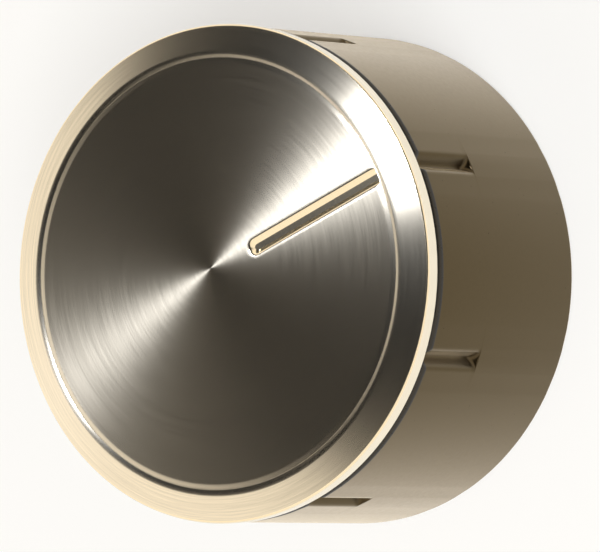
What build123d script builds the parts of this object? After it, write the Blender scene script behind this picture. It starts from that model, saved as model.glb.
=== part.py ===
"""Stove knob: a brushed metal cap on a tapered plated shell, with a moulded hub and a spring clip inside.

Millimetres. The knob stands on the back edge of its shell, with its face up: the axis is Z, the back edge
lies at z = 0, and the pointer line runs along +Y.
"""
import os
from math import cos, hypot, radians, sin, tan

from build123d import *

# Overall form
overall_height = 24.3        # back edge to brushed face
rim_diameter = 44.0          # cap at its widest
draft_angle = 2.9            # widening of the shell towards the back, degrees a side

# Cap
cap_depth = 1.95             # brushed face to the lower edge of the rim
cap_thickness = 1.0          # metal behind the brushed face
cap_rim_wall = 0.9           # metal of the turned-down rim
bevel_width = 2.45           # sloping border inside the rim
bevel_angle = 12.0           # slope of that border, degrees
rim_round = 0.3              # rounding from the border into the rim
rim_edge_chamfer = 0.15      # break of the rim's lower edge
ring_land = 0.25             # flat between the sloping border and the ring groove
ring_width = 0.75            # turned ring groove round the face
ring_root_width = 0.1        # flat at the bottom of that groove
ring_depth = 0.1
pointer_width = 1.75         # engraved line, a shallow trough with a round inner end and a square outer end
pointer_root_width = 0.65    # flat at the bottom of the trough
pointer_wall_angle = 60.0    # degrees from the axis
pointer_start = 4.55         # inner end of the line, from the axis
pointer_run_in = 0.55        # reach of the outer end into the ring groove

# Shell
rim_overhang = 0.05          # cap rim beyond the shell, all round
shadow_gap = 0.5             # open line between the rim and the shell
shell_wall = 1.8
shell_web = 2.2              # front wall of the shell, under the cap
cap_fit = 0.1                # radial clearance between the cap and the shell's spigot
spigot_chamfer = 0.3
shoulder_chamfer = 0.35      # front edge of the shell, beside the shadow gap
back_edge_chamfer = 0.3      # outer and inner back edge

# Grip notches: rounded V grooves that start at the shell's front edge
notch_count = 8
notch_width = 1.6            # at the surface
notch_depth = 1.05           # to the sharp root of the V
notch_length = 8.1
notch_root_round = 0.22

# Keys between the shell and the hub
key_count = 3
key_width = 2.4
key_height = 0.9             # inwards from the shell's inner wall
key_fit = 0.12               # clearance of the hub's keyways

# Hub
hub_fit = 0.08               # radial clearance between the hub and the shell
flange_thickness = 2.0
hub_ring_wall = 2.0
hub_ring_height = 6.0        # ring below the flange
boss_recess = 1.5            # mouth of the boss above the back edge
boss_wall = 2.2              # least wall round the socket and the clip pocket
boss_edge_chamfer = 0.6
rib_count = 6
rib_thickness = 1.4
rib_fall = 4.0               # how much deeper a rib is at the boss than at the ring

# Socket for the stove's shaft
shaft_diameter = 8.0
shaft_flat_depth = 1.5       # taken off the round shaft by its flat
socket_fit = 0.05            # radial clearance on the shaft
socket_depth = 14.0
socket_lead_in = 0.4

# Spring clip
clip_thickness = 0.45
clip_width = 3.6
clip_length = 12.2           # along the axis
clip_back_leg = 8.0          # straight leg on the pocket's floor
clip_bow_angle = 10.0        # slope of the bowed leg at its ends, degrees
clip_bite = 0.4              # reach of the leaf past the socket's flat
clip_pocket_depth = 1.8      # from the socket's flat outwards
clip_side_fit = 0.2          # clearance on each side of the clip
clip_end_fit = 0.3           # clearance past each end of the clip

# Heights
face_z = overall_height
rim_z = face_z - cap_depth
cap_seat_z = face_z - cap_thickness
shoulder_z = rim_z - shadow_gap
web_z = cap_seat_z - shell_web
flange_z = web_z - flange_thickness
hub_ring_z = flange_z - hub_ring_height
rib_root_z = hub_ring_z - rib_fall
key_length = web_z - hub_ring_z
boss_z = boss_recess

# Radii
rim_radius = rim_diameter / 2
rim_inner_radius = rim_radius - cap_rim_wall
bevel_inner_radius = rim_radius - bevel_width
ring_outer_radius = bevel_inner_radius - ring_land
ring_inner_radius = ring_outer_radius - ring_width
front_radius = rim_radius - rim_overhang
draft_slope = tan(radians(draft_angle))
back_radius = front_radius + shoulder_z * draft_slope
spigot_radius = rim_inner_radius - cap_fit
cavity_back_radius = back_radius - shell_wall
cavity_front_radius = cavity_back_radius - web_z * draft_slope
key_radius = cavity_front_radius - key_height
hub_radius = cavity_front_radius - hub_fit
hub_ring_inner_radius = hub_radius - hub_ring_wall
socket_radius = shaft_diameter / 2 + socket_fit
flat_distance = socket_radius - shaft_flat_depth
pocket_floor = flat_distance + clip_pocket_depth
pocket_width = clip_width + 2 * clip_side_fit
pocket_length = clip_length + 2 * clip_end_fit
boss_radius = hypot(pocket_floor, pocket_width / 2) + boss_wall


# Front cap: turned from one profile, then engraved with the pointer line
with BuildPart() as front_cap:
    with BuildSketch(Plane.XZ) as cap_section:
        with BuildLine():
            ring_wall = (ring_width - ring_root_width) / 2
            bevel_drop = bevel_width * tan(radians(bevel_angle))
            Polyline(
                (0, face_z),
                (ring_inner_radius, face_z),
                (ring_inner_radius + ring_wall, face_z - ring_depth),
                (ring_outer_radius - ring_wall, face_z - ring_depth),
                (ring_outer_radius, face_z),
                (bevel_inner_radius, face_z),
                (rim_radius, face_z - bevel_drop),
                (rim_radius, rim_z),
                (rim_inner_radius, rim_z),
                (rim_inner_radius, cap_seat_z),
                (0, cap_seat_z),
                close=True,
            )
        make_face()
        fillet(cap_section.vertices().group_by(Axis.X)[-1].sort_by(Axis.Y)[-1], rim_round)
    revolve(axis=Axis.Z)
    rim_edges = front_cap.edges().filter_by_position(Axis.Z, rim_z, rim_z)
    chamfer(rim_edges.sort_by(SortBy.RADIUS)[-1], rim_edge_chamfer)
    pointer_depth = (pointer_width - pointer_root_width) / 2 / tan(radians(pointer_wall_angle))
    with BuildSketch(Plane.XY.offset(face_z)):
        pointer_round_y = pointer_start + pointer_width / 2
        pointer_end_y = ring_inner_radius + pointer_run_in
        with Locations((0, pointer_round_y)):
            Circle(pointer_width / 2)
            Rectangle(
                pointer_width, pointer_end_y - pointer_round_y, align=(Align.CENTER, Align.MIN)
            )
    extrude(amount=-pointer_depth, taper=pointer_wall_angle, mode=Mode.SUBTRACT)
front_cap.part.label = "front_cap"


# Cutter of one grip notch, which follows the taper of the shell
with BuildPart() as notch_cutter:
    opening = 2 * notch_depth
    half_opening = notch_width / 2 * opening / notch_depth
    with BuildSketch(Plane.XY.offset(shoulder_z)):
        root_x = front_radius - notch_depth
        Polygon(
            (root_x, 0), (root_x + opening, -half_opening), (root_x + opening, half_opening), align=None
        )
    extrude(amount=notch_length, dir=(draft_slope, 0, -1))
    fillet(notch_cutter.edges().sort_by(Axis.X)[0], notch_root_round)

# Shell: tapered, open at the back, with a spigot for the cap and keys for the hub
with BuildPart() as knob_body:
    with BuildSketch(Plane.XZ):
        with BuildLine():
            Polyline(
                (cavity_back_radius, 0),
                (back_radius, 0),
                (front_radius, shoulder_z),
                (spigot_radius, shoulder_z),
                (spigot_radius, cap_seat_z),
                (0, cap_seat_z),
                (0, web_z),
                (cavity_front_radius, web_z),
                close=True,
            )
        make_face()
    revolve(axis=Axis.Z)
    spigot_edge = knob_body.edges().filter_by_position(Axis.Z, cap_seat_z, cap_seat_z)
    chamfer(spigot_edge, spigot_chamfer)
    shoulder_edges = knob_body.edges().filter_by_position(Axis.Z, shoulder_z, shoulder_z)
    chamfer(shoulder_edges.sort_by(SortBy.RADIUS)[-1], shoulder_chamfer)
    chamfer(knob_body.edges().filter_by_position(Axis.Z, 0, 0), back_edge_chamfer)
    with BuildSketch(Plane.XY.offset(web_z)):
        with PolarLocations(key_radius, key_count, start_angle=90):
            Rectangle(key_height + shell_wall / 2, key_width, align=(Align.MIN, Align.CENTER))
    extrude(amount=-key_length)
    with PolarLocations(0, notch_count, start_angle=90):
        add(notch_cutter.part, mode=Mode.SUBTRACT)
knob_body.part.label = "knob_body"


# One rib of the hub, from the boss out to the ring, deeper at the boss
with BuildPart() as rib:
    with BuildSketch(Plane.XZ):
        rib_start = boss_radius - boss_wall / 2
        rib_end = hub_ring_inner_radius + hub_ring_wall / 2
        Polygon(
            (rib_start, flange_z), (rib_end, flange_z), (rib_end, hub_ring_z), (rib_start, rib_root_z), align=None
        )
    extrude(amount=rib_thickness / 2, both=True)

# Hub: flange, ring, ribs and a boss with the shaft's socket
with BuildPart() as hub_insert:
    with BuildSketch(Plane.XY.offset(web_z)):
        Circle(hub_radius)
    extrude(amount=-flange_thickness)
    with BuildSketch(Plane.XY.offset(flange_z)):
        Circle(hub_radius)
        Circle(hub_ring_inner_radius, mode=Mode.SUBTRACT)
    extrude(amount=-hub_ring_height)
    with PolarLocations(0, rib_count, start_angle=90 + 180 / rib_count):
        add(rib.part)
    with BuildSketch(Plane.XY.offset(boss_z)):
        Circle(boss_radius)
    extrude(amount=flange_z - boss_z)
    chamfer(hub_insert.edges().filter_by_position(Axis.Z, boss_z, boss_z), boss_edge_chamfer)
    with BuildSketch(Plane.XY.offset(web_z)):
        with PolarLocations(key_radius - key_fit, key_count, start_angle=90):
            Rectangle(hub_ring_wall, key_width + 2 * key_fit, align=(Align.MIN, Align.CENTER))
    extrude(amount=-key_length, mode=Mode.SUBTRACT)
    with BuildSketch(Plane.XY.offset(boss_z)):
        Circle(socket_radius)
        with Locations((0, -flat_distance)):
            Rectangle(
                2 * socket_radius, socket_radius, align=(Align.CENTER, Align.MAX), mode=Mode.SUBTRACT
            )
    extrude(amount=socket_depth, mode=Mode.SUBTRACT)
    mouth = hub_insert.faces().filter_by(Plane.XY).sort_by(Axis.Z)[0]
    chamfer(mouth.inner_wires().edges(), socket_lead_in)
    with BuildSketch(Plane.XY.offset(boss_z)):
        with Locations((0, -pocket_floor)):
            Rectangle(pocket_width, pocket_floor, align=(Align.CENTER, Align.MIN))
    extrude(amount=pocket_length, mode=Mode.SUBTRACT)
hub_insert.part.label = "hub_insert"


# Spring clip: a bent strip whose back leg lies on the pocket's floor and whose bowed leg faces the shaft
with BuildPart() as spring_clip:
    bow_angle = radians(clip_bow_angle)
    back_leg_y = clip_thickness / 2 - pocket_floor
    bow_peak_y = clip_bite - clip_thickness / 2 - flat_distance
    bow_share = tan(bow_angle / 2) / 2
    straight_length = clip_length - clip_thickness / 2
    bend_radius = (bow_peak_y - back_leg_y - bow_share * straight_length) / (
        1 + cos(bow_angle) - bow_share * (1 - sin(bow_angle))
    )
    bend_z = boss_z + clip_end_fit + clip_thickness / 2 + bend_radius
    top_z = boss_z + clip_end_fit + clip_length
    bow_y = back_leg_y + bend_radius * (1 + cos(bow_angle))
    bow_z = bend_z - bend_radius * sin(bow_angle)
    with BuildSketch(Plane.YZ):
        with BuildLine():
            Line((back_leg_y, bend_z + clip_back_leg), (back_leg_y, bend_z))
            CenterArc((back_leg_y + bend_radius, bend_z), bend_radius, 180, 180 - clip_bow_angle)
            ThreePointArc((bow_y, bow_z), (bow_peak_y, (bow_z + top_z) / 2), (bow_y, top_z))
        trace(line_width=clip_thickness)
    extrude(amount=clip_width / 2, both=True)
spring_clip.part.label = "spring_clip"

os.makedirs("parts", exist_ok=True)
export_step(front_cap.part, "parts/front_cap.step")
export_step(knob_body.part, "parts/knob_body.step")
export_step(hub_insert.part, "parts/hub_insert.step")
export_step(spring_clip.part, "parts/spring_clip.step")
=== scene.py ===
# %% [markdown]
# # A stove knob, dressed for its portrait
#
# The knob has four pieces: a brushed metal cap, a tapered plated shell with eight grip notches, a black
# moulded hub and a small spring clip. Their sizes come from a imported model, which is loaded first and stays
# fixed. Every piece made here takes its place from that model, so nothing has to be fitted afterwards.

# %% Load the frame
from math import asin, atan2, cos, hypot, pi, radians, sin, sqrt, tan

import bmesh
import bpy
from mathutils import Matrix, Vector


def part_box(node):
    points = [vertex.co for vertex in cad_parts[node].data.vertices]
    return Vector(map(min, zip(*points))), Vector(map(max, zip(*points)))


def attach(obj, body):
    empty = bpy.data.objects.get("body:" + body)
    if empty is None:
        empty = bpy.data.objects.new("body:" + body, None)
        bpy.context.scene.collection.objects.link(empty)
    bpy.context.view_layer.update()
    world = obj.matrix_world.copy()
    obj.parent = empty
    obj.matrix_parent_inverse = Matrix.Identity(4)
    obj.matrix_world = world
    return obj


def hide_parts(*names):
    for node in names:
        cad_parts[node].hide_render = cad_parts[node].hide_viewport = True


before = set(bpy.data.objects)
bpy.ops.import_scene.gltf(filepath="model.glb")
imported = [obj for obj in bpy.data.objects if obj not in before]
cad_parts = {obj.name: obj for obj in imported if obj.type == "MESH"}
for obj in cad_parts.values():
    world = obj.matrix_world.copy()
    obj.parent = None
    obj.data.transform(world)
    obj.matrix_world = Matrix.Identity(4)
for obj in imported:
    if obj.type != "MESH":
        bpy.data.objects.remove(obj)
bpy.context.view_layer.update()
print("pieces in the frame:", sorted(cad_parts))

# %% [markdown]
# ## Sizes
#
# Blender works in metres and a knob is drawn in millimetres, so one factor turns one into the other. The
# outer sizes are read from the loaded pieces. The rest are the knob's own small features, written once.

# %% Read the main sizes
MM = 0.001
cap_low, cap_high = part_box("front_cap")
_, shell_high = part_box("knob_body")
rim_radius = cap_high.x / MM
face_z = cap_high.z / MM
rim_z = cap_low.z / MM
seat_z = shell_high.z / MM
print(f"face at {face_z:.2f} mm, rim at {rim_z:.2f} mm, rim radius {rim_radius:.2f} mm")

# %% [markdown]
# ## Half sections
#
# Cap and shell are turned shapes: one half section, swept once round the axis, gives the whole piece. A
# section could be typed in point by point, arcs included. It is easier to write only its corners and let
# a vertex bevel round each one, because then every radius stays a number that can be changed.

# %% Draw a half section and spin it
round_segments = 6
turn_steps = 256
weld_distance = 0.0005 * MM
near_axis = 1.0


def half_section(corners):
    """Lay corners (radius, height, rounding) in the XZ plane, join them with edges and round them."""
    bm = bmesh.new()
    points = [bm.verts.new((radius * MM, 0, height * MM)) for radius, height, _ in corners]
    for start, end in zip(points, points[1:]):
        bm.edges.new((start, end))
    for point, (_, _, rounding) in zip(points, corners):
        if rounding:
            bmesh.ops.bevel(
                bm, geom=[point], offset=rounding * MM, offset_type="OFFSET", affect="VERTICES",
                segments=round_segments, profile=0.5, material=-1,
            )
    return bm


def spin_round(bm, steps):
    """Sweep the section once round Z and close the seam and the poles."""
    bmesh.ops.spin(
        bm, geom=bm.verts[:] + bm.edges[:], cent=(0, 0, 0), axis=(0, 0, 1), angle=2 * pi, steps=steps,
        use_merge=True,
    )
    bmesh.ops.remove_doubles(bm, verts=bm.verts, dist=weld_distance)


# %% [markdown]
# ## From mesh to piece
#
# Each piece ends in the same way: its normals are turned outwards, it becomes an object at the origin, its
# faces are shaded smooth, and a Weighted Normal modifier keeps large flats flat beside small roundings.

# %% Finish a piece
def finish_piece(bm, name, node):
    """Turn a bmesh into an object that stands for a node of the frame."""
    bmesh.ops.recalc_face_normals(bm, faces=bm.faces)
    mesh = bpy.data.meshes.new(name)
    bm.to_mesh(mesh)
    bm.free()
    mesh.polygons.foreach_set("use_smooth", [True] * len(mesh.polygons))
    piece = bpy.data.objects.new(name, mesh)
    bpy.context.scene.collection.objects.link(piece)
    weighted = piece.modifiers.new("flat_faces", "WEIGHTED_NORMAL")
    weighted.keep_sharp = True
    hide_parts(node)
    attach(piece, "root")
    print(f"{name}: {len(mesh.vertices)} vertices, {len(mesh.polygons)} faces")
    return piece


# %% [markdown]
# ## The cap
#
# The cap is a thin aluminium cup. Its face is flat out to a shallow turned ring, then falls away in a
# sloping border, and the rim rolls over into a short wall. The section leaves out the flat inside the
# ring, because the pointer line has to be cut into it next.

# %% Section of the cap
bevel_width = 2.45
bevel_angle = 12.0
bevel_edge_round = 0.1
rim_round = 0.3
rim_edge_round = 0.15
ring_land = 0.25
ring_width = 0.75
ring_inner_wall = 0.42
ring_outer_wall = 0.3
ring_depth = 0.045
ring_edge_round = 0.08
ring_root_round = 0.02
cap_rim_wall = 0.9
land_width = 0.12
stroke_end_shares = (0.5, 0.7, 0.8, 0.9)

bevel_inner = rim_radius - bevel_width
ring_outer = bevel_inner - ring_land
ring_inner = ring_outer - ring_width
bevel_foot_z = face_z - bevel_width * tan(radians(bevel_angle))
rim_tangent = rim_round * tan(radians(90 - bevel_angle) / 2)
land_radius = ring_inner - land_width
stroke_end_rows = [
    (ring_inner + share * ring_inner_wall, face_z - share * ring_depth, 0) for share in stroke_end_shares
]

cap_mesh = half_section([
    (land_radius, face_z, 0),
    (ring_inner, face_z, ring_edge_round),
    *stroke_end_rows,
    (ring_inner + ring_inner_wall, face_z - ring_depth, ring_root_round),
    (ring_outer - ring_outer_wall, face_z - ring_depth, ring_root_round),
    (ring_outer, face_z, ring_edge_round),
    (bevel_inner, face_z, bevel_edge_round),
    (rim_radius, bevel_foot_z, rim_tangent),
    (rim_radius, rim_z, rim_edge_round),
    (rim_radius - cap_rim_wall, rim_z, 0),
    (rim_radius - cap_rim_wall, seat_z, 0),
    (0, seat_z, 0),
])
spin_round(cap_mesh, turn_steps)
print("cap turned:", len(cap_mesh.faces), "faces")

# %% [markdown]
# ## The pointer line
#
# The pointer is one engraved stroke, a channel with sloping walls that starts near the middle and runs out
# into the ring. A Boolean cut would leave ragged edges where the stroke meets the ring. Here the columns of
# vertices on the ring are drawn together at the stroke and pressed down to its depth, which cuts its outer
# end. The pressed edge is then the stroke's own section: extruded inwards it makes the length, and spun
# through half a turn it makes the round inner end. Last, the flat of the face is filled round it, and the
# foot of each wall is marked as a sharp edge, so that the channel's floor looks flat up to its corners.

# %% Depth of the pointer line
pointer_columns = 19
pointer_column_width = 0.055
pointer_floor_columns = 5
pointer_depth = 0.37
pointer_wall_slope = tan(radians(43))
pointer_lip_round = 0.1
pointer_start = 4.55
pointer_overrun = 0.4
pointer_end = ring_inner + pointer_overrun
pointer_end_slope = tan(radians(80))
pointer_half_width = pointer_floor_columns * pointer_column_width + pointer_depth / pointer_wall_slope
pointer_reach = pointer_columns * pointer_column_width


def channel_depth(offset):
    """Depth of the channel beside its middle line: sloping walls down to a flat floor."""
    return min(pointer_depth, pointer_wall_slope * (pointer_half_width - abs(offset)))


def soften(depth):
    """Round the lips of the channel with a square root."""
    return (depth + hypot(depth, pointer_lip_round)) / 2


def stroke_depth(offset, along):
    """Depth of the stroke beside its middle line and along it, and none outside its lips."""
    depth = min(channel_depth(offset), pointer_end_slope * (pointer_end - along))
    return max(0, soften(depth) - soften(channel_depth(pointer_reach)))


print(f"pointer line {stroke_depth(0, pointer_start):.2f} mm deep")

# %% Press the stroke into the ring
calm_columns = 32
cap_step = 2 * pi / turn_steps


def press_pointer(bm):
    """Draw the columns beside the pointer together, and press the ring down where the stroke crosses it."""
    for vert in bm.verts:
        radius = hypot(vert.co.x, vert.co.y) / MM
        column = round((pi / 2 - atan2(vert.co.y, vert.co.x)) / cap_step)
        if radius < near_axis or abs(column) >= calm_columns:
            continue
        drawn = min(abs(column), pointer_columns) * pointer_column_width
        turned = asin(drawn / radius)
        if abs(column) > pointer_columns:
            share = (abs(column) - pointer_columns) / (calm_columns - pointer_columns)
            turned += (calm_columns * cap_step - turned) * share
        across_x = radius * sin(turned) * (1 if column > 0 else -1)
        along_y = radius * cos(turned)
        height = vert.co.z / MM
        if height > seat_z + ring_depth and along_y < pointer_end:
            height = min(height, face_z - stroke_depth(across_x, along_y))
        vert.co = Vector((across_x, along_y, height)) * MM


press_pointer(cap_mesh)
print("columns across the pointer:", 2 * pointer_columns + 1)

# %% Draw out the stroke and fill the face
inner_end_y = pointer_start + pointer_half_width
round_end_steps = 24
sharp_angle = radians(30)


def draw_stroke(bm):
    """Extrude the pressed edge to the inner end, spin the round end and fill the flat of the face."""
    reach = (pointer_reach + pointer_column_width / 2) * MM
    edges = [
        edge for edge in bm.edges
        if edge.is_boundary and all(abs(vert.co.x) < reach and vert.co.y > 0 for vert in edge.verts)
    ]
    made = bmesh.ops.extrude_edge_only(bm, edges=edges)["geom"]
    end_verts = [item for item in made if isinstance(item, bmesh.types.BMVert)]
    to_end = Matrix.Translation((0, -inner_end_y * MM, 0))
    bmesh.ops.scale(bm, verts=end_verts, vec=(1, 0, 1), space=to_end)
    right_half = [vert for vert in end_verts if vert.co.x > -weld_distance]
    right_edges = [
        edge for edge in bm.edges
        if edge.is_boundary and all(vert in right_half for vert in edge.verts)
    ]
    bmesh.ops.spin(
        bm, geom=right_half + right_edges, cent=(0, inner_end_y * MM, 0), axis=(0, 0, 1), angle=-pi,
        steps=round_end_steps,
    )
    bmesh.ops.remove_doubles(bm, verts=bm.verts, dist=weld_distance)
    rim_of_flat = [edge for edge in bm.edges if edge.is_boundary]
    bmesh.ops.triangle_fill(bm, use_beauty=True, edges=rim_of_flat, normal=(0, 0, 1))
    for edge in bm.edges:
        edge.smooth = edge.calc_face_angle(pi) < sharp_angle


draw_stroke(cap_mesh)
print("open edges left on the cap:", sum(edge.is_boundary for edge in cap_mesh.edges))

# %% Make the cap
cap = finish_piece(cap_mesh, "brushed_cap", "front_cap")

# %% [markdown]
# ## The shell
#
# The shell is a plated cup that widens towards the back. It is turned like the cap. Its front edge is
# rounded and stands half a millimetre behind the rim, which leaves a narrow joint below the cap.

# %% Section of the shell
rim_overhang = 0.05
shadow_gap = 0.5
draft_angle = 2.9
shell_wall = 1.8
shell_web = 2.2
cap_fit = 0.1
spigot_chamfer = 0.3
shoulder_round = 0.45
back_edge_round = 0.35
notch_count = 8
notch_length = 8.1
notch_end_round = 0.7
notch_end_rows = 9
steps_per_notch = 48

shoulder_z = rim_z - shadow_gap
front_radius = rim_radius - rim_overhang
draft_slope = tan(radians(draft_angle))
spigot_radius = rim_radius - cap_rim_wall - cap_fit
web_z = seat_z - shell_web
notch_end_z = shoulder_z - notch_length


def outer_radius(height):
    """Radius of the tapered outside at a height above the back edge."""
    return front_radius + (shoulder_z - height) * draft_slope


notch_rows = [
    notch_end_z + notch_end_round * (row / (notch_end_rows - 1)) ** 2 for row in range(notch_end_rows)
]
cavity_back_radius = outer_radius(0) - shell_wall
cavity_front_radius = cavity_back_radius - web_z * draft_slope
shell_mesh = half_section([
    (0, web_z, 0),
    (cavity_front_radius, web_z, 0),
    (cavity_back_radius, 0, back_edge_round),
    (outer_radius(0), 0, back_edge_round),
    *[(outer_radius(height), height, 0) for height in notch_rows],
    (front_radius, shoulder_z, shoulder_round),
    (spigot_radius, shoulder_z, 0),
    (spigot_radius, seat_z, spigot_chamfer),
    (0, seat_z, 0),
])
spin_round(shell_mesh, notch_count * steps_per_notch)
print("shell turned:", len(shell_mesh.faces), "faces")

# %% [markdown]
# ## The grip notches
#
# Eight rounded V notches run back from the front edge, one of them in line with the pointer. A Boolean cut
# would leave hard, uneven edges on such small grooves. The shell was turned in steps that put a column of
# vertices on every notch, so here a few columns are drawn together there and pushed in by the depth of
# the groove's own section, a V whose root and lips are rounded by square roots.

# %% Draw columns together and press in the notches
notch_half_width = 0.8
notch_depth = 1.05
notch_root_round = 0.12
notch_lip_round = 0.12
notch_columns = 7
column_width = 0.17
notch_pitch = 2 * pi / notch_count
turn_step = notch_pitch / steps_per_notch
notch_floor = spigot_radius + cap_fit / 2


def groove_depth(offset):
    """Depth of the groove at a distance from its middle."""
    wall = notch_depth * (1 - hypot(offset, notch_root_round) / notch_half_width)
    return (wall + hypot(wall, notch_lip_round)) / 2


def end_share(height):
    """0 at the end of the notch and 1 above its rounded end wall, along a quarter of a circle."""
    rest = min(1, max(0, 1 - (height - notch_end_z) / notch_end_round))
    return sqrt(1 - rest * rest)


def press_notches(bm):
    """Move the columns of vertices beside each notch."""
    for vert in bm.verts:
        radius = hypot(vert.co.x, vert.co.y) / MM
        angle = atan2(vert.co.y, vert.co.x)
        middle = notch_pitch * round(angle / notch_pitch)
        column = round((angle - middle) / turn_step)
        if radius < near_axis or abs(column) > notch_columns:
            continue
        offset = column * column_width
        height = vert.co.z / MM
        if radius > notch_floor and notch_end_z < height < shoulder_z + cap_fit:
            groove = outer_radius(height) - groove_depth(offset) * end_share(height)
            radius = min(radius, max(groove, notch_floor))
        turned = middle + offset / front_radius
        vert.co = Vector((radius * cos(turned), radius * sin(turned), height)) * MM


press_notches(shell_mesh)
print(f"{notch_count} notches, {groove_depth(0):.2f} mm deep and {notch_length:.1f} mm long")

# %% [markdown]
# ## The keys inside the shell
#
# The hub must not turn in the shell, so three keys stand on the shell's inner wall and the hub has keyways
# for them. A key is a plain bar. It is made from a cube that is stretched, set into the wall and turned to
# its place, which is less work than drawing its corners.

# %% Add the keys and make the shell
key_count = 3
key_width = 2.4
key_height = 0.9
key_foot_z = 13.1
key_sink = 0.2


def add_keys(bm):
    """Stand the keys on the inner wall, each sunk a little into the wall and the web."""
    inner, outer = cavity_front_radius - key_height, cavity_front_radius + shell_wall / 2
    length = web_z + key_sink - key_foot_z
    for number in range(key_count):
        bar = bmesh.ops.create_cube(bm, size=MM)["verts"]
        bmesh.ops.scale(bm, verts=bar, vec=(outer - inner, key_width, length))
        bmesh.ops.translate(bm, verts=bar, vec=Vector((inner + outer, 0, 2 * key_foot_z + length)) * MM / 2)
        turn = Matrix.Rotation(pi / 2 + number * 2 * pi / key_count, 3, "Z")
        bmesh.ops.rotate(bm, verts=bar, cent=(0, 0, 0), matrix=turn)


add_keys(shell_mesh)
shell = finish_piece(shell_mesh, "plated_shell", "knob_body")

# %% [markdown]
# ## Hub and spring clip
#
# The hub is a black moulding with a ring, six ribs and a boss, and the clip is a bent strip of spring steel
# that grips the shaft's flat. Their shapes in the frame are already right, but every edge there is as sharp
# as a knife. A copy is merged into one skin, its flat triangles are dissolved into whole faces, and its
# edges are bevelled by a tenth of a millimetre or half of that, as a mould and a press would leave them.

# %% Round the edges of the hub and the clip
flat_angle = radians(0.5)


def rounded_copy(node, name, edge_round):
    """A copy of a node of the frame with small rounds on its sharp edges."""
    bm = bmesh.new()
    bm.from_mesh(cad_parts[node].data)
    bmesh.ops.remove_doubles(bm, verts=bm.verts, dist=weld_distance)
    bmesh.ops.dissolve_limit(bm, angle_limit=flat_angle, verts=bm.verts, edges=bm.edges)
    sharp = [edge for edge in bm.edges if edge.is_manifold and edge.calc_face_angle() > sharp_angle]
    bmesh.ops.bevel(
        bm, geom=sharp, offset=edge_round * MM, offset_type="OFFSET", affect="EDGES", segments=2, profile=0.5,
        material=-1, clamp_overlap=True,
    )
    return finish_piece(bm, name, node)


hub = rounded_copy("hub_insert", "moulded_hub", 0.1)
clip = rounded_copy("spring_clip", "steel_clip", 0.05)

# %% [markdown]
# ## Where the camera stands
#
# The camera looks at the face from one side, so that the shell shows on the right. Three angles say it
# all: how far the face is turned, how far it is tipped, and how far the pointer is turned on the face.
# From them come two directions that lie in the face, one to the picture's right and one up, which also
# place the lights.

# %% Place the camera
view_yaw = radians(33.25)
view_pitch = radians(1.57)
pointer_turn = radians(25.8)
focal_pixels = 2800
picture_width = 600
sensor_width = 36.0
rim_centre = Vector((-6.838, -0.216, 247.5)) * MM
rim_centre_z = 22.45

axis = Vector((-sin(view_yaw) * cos(view_pitch), -sin(view_pitch), -cos(view_yaw) * cos(view_pitch)))
across = Vector((0, -1, 0)).cross(axis).normalized()
upward = axis.cross(across)
face_y = cos(pointer_turn) * across + sin(pointer_turn) * upward
face_x = sin(pointer_turn) * across - cos(pointer_turn) * upward
to_frame = Matrix((face_x, face_y, axis))
camera_turn = to_frame @ Matrix.Diagonal((1, -1, -1))
camera_place = Vector((0, 0, rim_centre_z * MM)) - to_frame @ rim_centre

camera_data = bpy.data.cameras.new("camera")
camera_data.sensor_width = sensor_width
camera_data.lens = focal_pixels / picture_width * sensor_width
camera = bpy.data.objects.new("camera", camera_data)
camera.matrix_world = Matrix.Translation(camera_place) @ camera_turn.to_4x4()
bpy.context.scene.collection.objects.link(camera)
bpy.context.scene.camera = camera
picture_right = Vector((sin(pointer_turn), cos(pointer_turn), 0))
picture_up = Vector((-cos(pointer_turn), sin(pointer_turn), 0))
print("camera at", [round(value, 4) for value in camera_place])


def from_face(right, up, out):
    """A direction given by the picture's right and up on the face and by the way out of the face."""
    return right * picture_right + up * picture_up + Vector((0, 0, out))


# %% [markdown]
# ## Helpers for materials
#
# Every finish here is built from nodes. Four small helpers keep that short: one adds a node, one starts a
# material, and two turn a noise value into a range of numbers or into shades of one colour.

# %% Node helpers
def add_node(tree, kind, **settings):
    """Add a node and set its properties, or its sockets where no property has that name."""
    node = tree.nodes.new(kind)
    for name, value in settings.items():
        if hasattr(node, name):
            setattr(node, name, value)
        else:
            node.inputs[name.replace("_", " ").title()].default_value = value
    return node


def new_material(name):
    """A node material with its Principled shader."""
    material = bpy.data.materials.new(name)
    material.use_nodes = True
    return material, material.node_tree, material.node_tree.nodes["Principled BSDF"]


def ranged(tree, value, low, high):
    """Spread the middle half of a noise value over a range of numbers."""
    node = add_node(tree, "ShaderNodeMapRange", From_Min=0.25, From_Max=0.75, To_Min=low, To_Max=high)
    tree.links.new(value, node.inputs["Value"])
    return node.outputs["Result"]


def shaded(tree, value, colour, darkest):
    """Shades of one colour, from its darkest share to the colour itself."""
    node = add_node(tree, "ShaderNodeVectorMath", operation="SCALE")
    node.inputs[0].default_value = colour
    tree.links.new(ranged(tree, value, darkest, 1), node.inputs["Scale"])
    return node.outputs[0]


# %% [markdown]
# ## Turned lines and fine grain
#
# Two effects are shared by several finishes, so each is a node group. The first is the scratches that a
# turning tool or a brush leaves round a centre: a noise that is drawn out along the circle and packed
# tight along the radius. The second is plain fine grain, a noise that can be stretched in any direction.

# %% Group: lines turned round a centre
brush_shift = 0.4
brush_offset = from_face(0, brush_shift, 0) * MM


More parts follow.
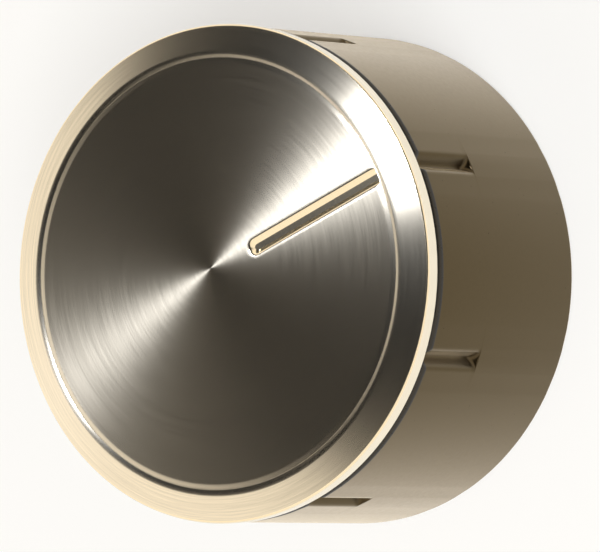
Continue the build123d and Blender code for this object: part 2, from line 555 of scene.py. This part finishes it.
def turned_lines_group():
    """Fine scratches round a centre, as a value from 0 to 1."""
    group = bpy.data.node_groups.new("turned_lines", "ShaderNodeTree")
    group.interface.new_socket("Centre", in_out="INPUT", socket_type="NodeSocketVector")
    group.interface.new_socket("Lines", in_out="INPUT", socket_type="NodeSocketFloat")
    group.interface.new_socket("Arcs", in_out="INPUT", socket_type="NodeSocketFloat")
    group.interface.new_socket("Scratch", in_out="OUTPUT", socket_type="NodeSocketFloat")
    given = group.nodes.new("NodeGroupInput")
    result = group.nodes.new("NodeGroupOutput")
    place = add_node(group, "ShaderNodeTexCoord")
    shift = add_node(group, "ShaderNodeVectorMath", operation="SUBTRACT")
    flat = add_node(group, "ShaderNodeVectorMath", operation="MULTIPLY")
    flat.inputs[1].default_value = (1, 1, 0)
    radius = add_node(group, "ShaderNodeVectorMath", operation="LENGTH")
    outward = add_node(group, "ShaderNodeVectorMath", operation="NORMALIZE")
    spread = add_node(group, "ShaderNodeVectorMath", operation="SCALE")
    rings = add_node(group, "ShaderNodeMath", operation="MULTIPLY")
    stack = add_node(group, "ShaderNodeCombineXYZ")
    joined = add_node(group, "ShaderNodeVectorMath", operation="ADD")
    noise = add_node(group, "ShaderNodeTexNoise", Scale=1.0, Detail=3.0, Roughness=0.65)
    link = group.links.new
    link(place.outputs["Object"], shift.inputs[0])
    link(given.outputs["Centre"], shift.inputs[1])
    link(shift.outputs[0], flat.inputs[0])
    link(flat.outputs[0], radius.inputs[0])
    link(flat.outputs[0], outward.inputs[0])
    link(outward.outputs[0], spread.inputs[0])
    link(given.outputs["Arcs"], spread.inputs["Scale"])
    link(radius.outputs["Value"], rings.inputs[0])
    link(given.outputs["Lines"], rings.inputs[1])
    link(rings.outputs[0], stack.inputs["Z"])
    link(spread.outputs[0], joined.inputs[0])
    link(stack.outputs[0], joined.inputs[1])
    link(joined.outputs[0], noise.inputs["Vector"])
    link(noise.outputs["Fac"], result.inputs["Scratch"])
    return group


turned_lines = turned_lines_group()
print("group made:", turned_lines.name)


# %% Group: fine grain
def fine_grain_group():
    """Fine grain as a value from 0 to 1, with its own density along each axis."""
    group = bpy.data.node_groups.new("fine_grain", "ShaderNodeTree")
    group.interface.new_socket("Density", in_out="INPUT", socket_type="NodeSocketVector")
    group.interface.new_socket("Grain", in_out="OUTPUT", socket_type="NodeSocketFloat")
    given = group.nodes.new("NodeGroupInput")
    result = group.nodes.new("NodeGroupOutput")
    place = add_node(group, "ShaderNodeTexCoord")
    spread = add_node(group, "ShaderNodeVectorMath", operation="MULTIPLY")
    noise = add_node(group, "ShaderNodeTexNoise", Scale=1.0, Detail=3.0, Roughness=0.6)
    group.links.new(place.outputs["Object"], spread.inputs[0])
    group.links.new(given.outputs["Density"], spread.inputs[1])
    group.links.new(spread.outputs[0], noise.inputs["Vector"])
    group.links.new(noise.outputs["Fac"], result.inputs["Grain"])
    return group


fine_grain = fine_grain_group()
print("group made:", fine_grain.name)


def add_grain(tree, density):
    """Place the fine grain in a material and give its value."""
    node = add_node(tree, "ShaderNodeGroup", node_tree=fine_grain)
    node.inputs["Density"].default_value = density
    return node.outputs["Grain"]


# %% [markdown]
# ## Brushed metal
#
# The cap's face is brushed while it spins. Its scratches spread a reflection across themselves and not
# along themselves, which is why a round face shows bright fans. Bumps as fine as that would need far more
# samples than they are worth, so the Principled shader's anisotropy does it, with a tangent that points
# away from the centre. The channel of the pointer and the rim are cut by a smoother tool and take a second
# finish, with less anisotropy.

# %% Finish: brushed metal
def brushed_metal(name, colour, roughness, anisotropy, lines, arcs, darkest):
    """Metal turned round the axis, whose tangent points away from the centre of the brushing."""
    material, tree, shader = new_material(name)
    shader.inputs["Metallic"].default_value = 1
    shader.inputs["Anisotropic"].default_value = anisotropy
    place = add_node(tree, "ShaderNodeTexCoord")
    shift = add_node(tree, "ShaderNodeVectorMath", operation="SUBTRACT")
    shift.inputs[1].default_value = brush_offset
    flat = add_node(tree, "ShaderNodeVectorMath", operation="MULTIPLY")
    flat.inputs[1].default_value = (1, 1, 0)
    outward = add_node(tree, "ShaderNodeVectorMath", operation="NORMALIZE")
    scratches = add_node(tree, "ShaderNodeGroup", node_tree=turned_lines)
    scratches.inputs["Centre"].default_value = brush_offset
    scratches.inputs["Lines"].default_value = lines
    scratches.inputs["Arcs"].default_value = arcs
    scratch = scratches.outputs["Scratch"]
    link = tree.links.new
    link(place.outputs["Object"], shift.inputs[0])
    link(shift.outputs[0], flat.inputs[0])
    link(flat.outputs[0], outward.inputs[0])
    link(outward.outputs[0], shader.inputs["Tangent"])
    link(shaded(tree, scratch, colour, darkest), shader.inputs["Base Color"])
    link(ranged(tree, scratch, roughness * 1.1, roughness * 0.9), shader.inputs["Roughness"])
    return material


face_metal = brushed_metal(
    "brushed_face", (0.92, 0.87, 0.77), roughness=0.192, anisotropy=0.82, lines=8000, arcs=2.5, darkest=0.82,
)
cut_metal = brushed_metal(
    "bright_cut", (0.96, 0.87, 0.70), roughness=0.16, anisotropy=0.3, lines=9000, arcs=2.0, darkest=0.92,
)
print("finishes made:", face_metal.name, cut_metal.name)

# %% Share out the two finishes
slope_margin = 0.01
face_slope = cos(radians(bevel_angle)) - slope_margin
upper_lip_depth = 0.008
lower_lip_depth = 0.035


def in_channel(place):
    """Whether a point of the face lies in the pointer's channel, whose lower lip is still brushed."""
    lip_z = face_z - (upper_lip_depth if place.x < 0 else lower_lip_depth)
    return abs(place.x) < pointer_reach * MM and 0 < place.y < pointer_end * MM and place.z < lip_z * MM


def on_face(polygon):
    """Whether a face of the cap is part of its brushed front."""
    return polygon.normal.z > face_slope and polygon.center.z > bevel_foot_z * MM


cap.data.materials.append(face_metal)
cap.data.materials.append(cut_metal)
for polygon in cap.data.polygons:
    polygon.material_index = 0 if on_face(polygon) and not in_channel(polygon.center) else 1
print("faces brushed:", sum(polygon.material_index == 0 for polygon in cap.data.polygons))

# %% [markdown]
# ## Smoked plate
#
# The shell is moulded and plated, then lacquered to a dark, warm metal that is far brighter at a glancing
# view than when it is looked at straight on. A dark metal colour alone stays too dull at the edges. A clear
# coat whose weight grows with Layer Weight's facing value adds that gloss, a little warm sheen softens it,
# and fine grain in the roughness keeps the reflections satin.

# %% Finish: smoked plate
def smoked_plate(name, colour, edge_colour, roughness):
    """Dark lacquered plating, glossier where it is seen at a glancing angle."""
    material, tree, shader = new_material(name)
    shader.inputs["Metallic"].default_value = 1
    shader.inputs["Specular Tint"].default_value = (*edge_colour, 1)
    shader.inputs["Coat Roughness"].default_value = 0.25
    shader.inputs["Coat IOR"].default_value = 2.0
    shader.inputs["Sheen Weight"].default_value = 0.6
    shader.inputs["Sheen Roughness"].default_value = 0.3
    shader.inputs["Sheen Tint"].default_value = (*edge_colour, 1)
    grain = add_grain(tree, (2500, 2500, 2500))
    glance = add_node(tree, "ShaderNodeLayerWeight", Blend=0.5)
    coat = add_node(tree, "ShaderNodeMapRange", From_Min=0.45, From_Max=0.8)
    link = tree.links.new
    link(glance.outputs["Facing"], coat.inputs["Value"])
    link(coat.outputs["Result"], shader.inputs["Coat Weight"])
    link(shaded(tree, grain, colour, 0.9), shader.inputs["Base Color"])
    link(ranged(tree, grain, roughness * 0.85, roughness * 1.15), shader.inputs["Roughness"])
    return material


shell.data.materials.append(smoked_plate("smoked_plate", (0.085, 0.066, 0.040), (1.0, 0.84, 0.60), 0.32))
print("plating on", shell.name)

# %% [markdown]
# ## The painted gap shadow
#
# Behind the cap's rim runs a thin dark line, the shadow in the narrow gap between cap and shell. It is
# painted: a second, near-black material goes on the faces of the shoulder and the spigot, because a line in
# the texture would be soft.

# %% Finish: painted gap shadow
gap_shadow_depth = 0.42


def painted_gap_shadow(name):
    """Near-black material with a little grain, a painted shadow for the gap behind the cap's rim."""
    material, tree, shader = new_material(name)
    grain = add_grain(tree, (2500, 2500, 2500))
    link = tree.links.new
    link(shaded(tree, grain, (0.012, 0.010, 0.008), 0.8), shader.inputs["Base Color"])
    link(ranged(tree, grain, 0.25, 0.35), shader.inputs["Roughness"])
    return material


# The shoulder and spigot faces take the near-black painted shadow of the gap.
shell.data.materials.append(painted_gap_shadow("painted_gap_shadow"))
for polygon in shell.data.polygons:
    polygon.material_index = 1 if polygon.center.z > (shoulder_z - gap_shadow_depth) * MM else 0
print("faces in the joint:", sum(polygon.material_index for polygon in shell.data.polygons))

# %% [markdown]
# ## Moulded plastic and spring steel
#
# The hub is moulded in black plastic with the fine matt grain of an eroded mould, so its grain is also a
# small bump. The clip is rolled strip, whose grain is drawn out along its length, from back to front.

# %% Finishes: black moulding and spring steel
def black_moulding(name):
    """Matt black plastic with a fine grain."""
    material, tree, shader = new_material(name)
    grain = add_grain(tree, (4000, 4000, 4000))
    bump = add_node(tree, "ShaderNodeBump", Strength=0.25, Distance=0.00005)
    link = tree.links.new
    link(grain, bump.inputs["Height"])
    link(bump.outputs["Normal"], shader.inputs["Normal"])
    link(shaded(tree, grain, (0.026, 0.026, 0.028), 0.7), shader.inputs["Base Color"])
    link(ranged(tree, grain, 0.42, 0.58), shader.inputs["Roughness"])
    return material


def spring_steel(name):
    """Rolled steel strip with a grain along its length."""
    material, tree, shader = new_material(name)
    shader.inputs["Metallic"].default_value = 1
    grain = add_grain(tree, (12000, 12000, 400))
    link = tree.links.new
    link(shaded(tree, grain, (0.60, 0.58, 0.55), 0.75), shader.inputs["Base Color"])
    link(ranged(tree, grain, 0.24, 0.36), shader.inputs["Roughness"])
    return material


hub.data.materials.append(black_moulding("black_moulding"))
clip.data.materials.append(spring_steel("spring_steel"))
print("finishes:", [material.name for piece in (cap, shell, hub, clip) for material in piece.data.materials])

# %% [markdown]
# ## The floor
#
# Polished metal looks like what stands round it, and the shell shows mostly the floor. The floor is a plain
# white sheet. A share of it shines with a strength of 1 where the camera or a reflection looks at it, which
# keeps it white round the knob, and the rest is lit by the lamps and keeps the knob's shadow. From below it
# can be seen through, so that the hub can be looked at as well.

# %% Floor
floor_size = 3.0
floor_drop = 0.02 * MM
floor_shine = 0.55
floor_mesh = bmesh.new()
bmesh.ops.create_grid(floor_mesh, x_segments=1, y_segments=1, size=floor_size)
bmesh.ops.translate(floor_mesh, verts=floor_mesh.verts, vec=(0, 0, -floor_drop))
floor_data = bpy.data.meshes.new("floor")
floor_mesh.to_mesh(floor_data)
floor_mesh.free()
floor = bpy.data.objects.new("floor", floor_data)
bpy.context.scene.collection.objects.link(floor)


def white_sheet(name, colour):
    """A white floor that partly shines for the camera and for reflections."""
    material, tree, shader = new_material(name)
    shader.inputs["Base Color"].default_value = (*colour, 1)
    shader.inputs["Roughness"].default_value = 0.9
    shader.inputs["Specular IOR Level"].default_value = 0
    rays = add_node(tree, "ShaderNodeLightPath")
    seen = add_node(tree, "ShaderNodeMath", operation="MAXIMUM")
    seen_through = add_node(tree, "ShaderNodeMath", operation="MAXIMUM")
    share = add_node(tree, "ShaderNodeMath", operation="MULTIPLY")
    share.inputs[1].default_value = floor_shine
    shine = add_node(tree, "ShaderNodeEmission", Strength=1.0)
    both = add_node(tree, "ShaderNodeMixShader")
    link = tree.links.new
    link(rays.outputs["Is Camera Ray"], seen.inputs[0])
    link(rays.outputs["Is Glossy Ray"], seen.inputs[1])
    link(seen.outputs[0], seen_through.inputs[0])
    link(rays.outputs["Is Transmission Ray"], seen_through.inputs[1])
    link(seen_through.outputs[0], share.inputs[0])
    link(share.outputs[0], both.inputs[0])
    link(shader.outputs[0], both.inputs[1])
    link(shine.outputs[0], both.inputs[2])
    sides = add_node(tree, "ShaderNodeNewGeometry")
    clear = add_node(tree, "ShaderNodeBsdfTransparent")
    one_sided = add_node(tree, "ShaderNodeMixShader")
    link(sides.outputs["Backfacing"], one_sided.inputs[0])
    link(both.outputs[0], one_sided.inputs[1])
    link(clear.outputs[0], one_sided.inputs[2])
    link(one_sided.outputs[0], tree.nodes["Material Output"].inputs["Surface"])
    return material


floor.data.materials.append(white_sheet("white_sheet", (0.92, 0.92, 0.92)))
print(f"floor {2 * floor_size:.0f} m wide")

# %% [markdown]
# ## The world
#
# The surroundings are a tent of warm white cloth with an oval dark opening above the face. The brushed face
# mirrors the opening and turns dark, and the sloping border and the pointer's channel, which lean away from
# it, mirror the cloth. A photograph of a studio could do the same, but two colours and one direction are
# easier to adjust.

# %% World
tent_light = (1.12, 0.99, 0.79, 1)
tent_dark = (0.004, 0.0037, 0.0033, 1)
opening_width = 1.12
opening_height = 0.82
dark_middle = from_face(-0.061, 0.255, 0.866).normalized()
dark_up = dark_middle.cross(picture_right).normalized()
dark_right = dark_up.cross(dark_middle)
opening_turn = Matrix((dark_right, dark_up, dark_middle)).transposed().to_euler()

world = bpy.data.worlds.new("tent")
world.use_nodes = True
bpy.context.scene.world = world
sky = world.node_tree
heading = add_node(sky, "ShaderNodeTexCoord")
oval = add_node(sky, "ShaderNodeMapping", vector_type="TEXTURE", Rotation=opening_turn)
oval.inputs["Scale"].default_value = (opening_width, opening_height, 1)
aim = add_node(sky, "ShaderNodeVectorMath", operation="NORMALIZE")
facing = add_node(sky, "ShaderNodeSeparateXYZ")
edge = add_node(sky, "ShaderNodeMapRange", interpolation_type="SMOOTHSTEP", From_Min=0.69, From_Max=0.73)
tent = add_node(sky, "ShaderNodeMix", data_type="RGBA")
tent.inputs["A"].default_value = tent_light
tent.inputs["B"].default_value = tent_dark
sky.links.new(heading.outputs["Generated"], oval.inputs["Vector"])
sky.links.new(oval.outputs[0], aim.inputs[0])
sky.links.new(aim.outputs[0], facing.inputs[0])
sky.links.new(facing.outputs["Z"], edge.inputs["Value"])
sky.links.new(edge.outputs["Result"], tent.inputs["Factor"])
sky.links.new(tent.outputs["Result"], sky.nodes["Background"].inputs["Color"])
print("dark opening towards", [round(value, 3) for value in dark_middle])


# %% [markdown]
# ## The lamps
#
# Two soft lamps stand in the tent. A small one shines through the opening and draws the bright fans on the
# brushed face, and it is switched off for matt surfaces. A large one stands on the camera's side and lights
# the floor, so that the shadow falls behind the knob. It is switched off for reflections, because a large
# white square in the metal would look like a window.

# %% Lamps
def area_lamp(name, direction, distance, size, power, colour=(1, 1, 1)):
    """A square soft lamp that looks at the knob from a direction."""
    data = bpy.data.lights.new(name, "AREA")
    data.size = size
    data.energy = power
    data.color = colour
    lamp = bpy.data.objects.new(name, data)
    lamp.location = direction.normalized() * distance
    lamp.rotation_euler = direction.to_track_quat("Z", "Y").to_euler()
    bpy.context.scene.collection.objects.link(lamp)
    return lamp


softbox = area_lamp("softbox", from_face(-0.162, 0.276, 0.947), distance=1.0, size=0.10, power=11)
softbox.visible_diffuse = False
floor_light = area_lamp(
    "floor_light", from_face(0.45, -0.30, 0.836), distance=1.2, size=0.6, power=10, colour=(0.93, 0.97, 1.0),
)
floor_light.visible_glossy = False
print("lamps:", softbox.name, floor_light.name)

# %% [markdown]
# ## Finish
#
# Last, the view transform is set to Standard.

# %% Finish
bpy.context.scene.view_settings.view_transform = "Standard"
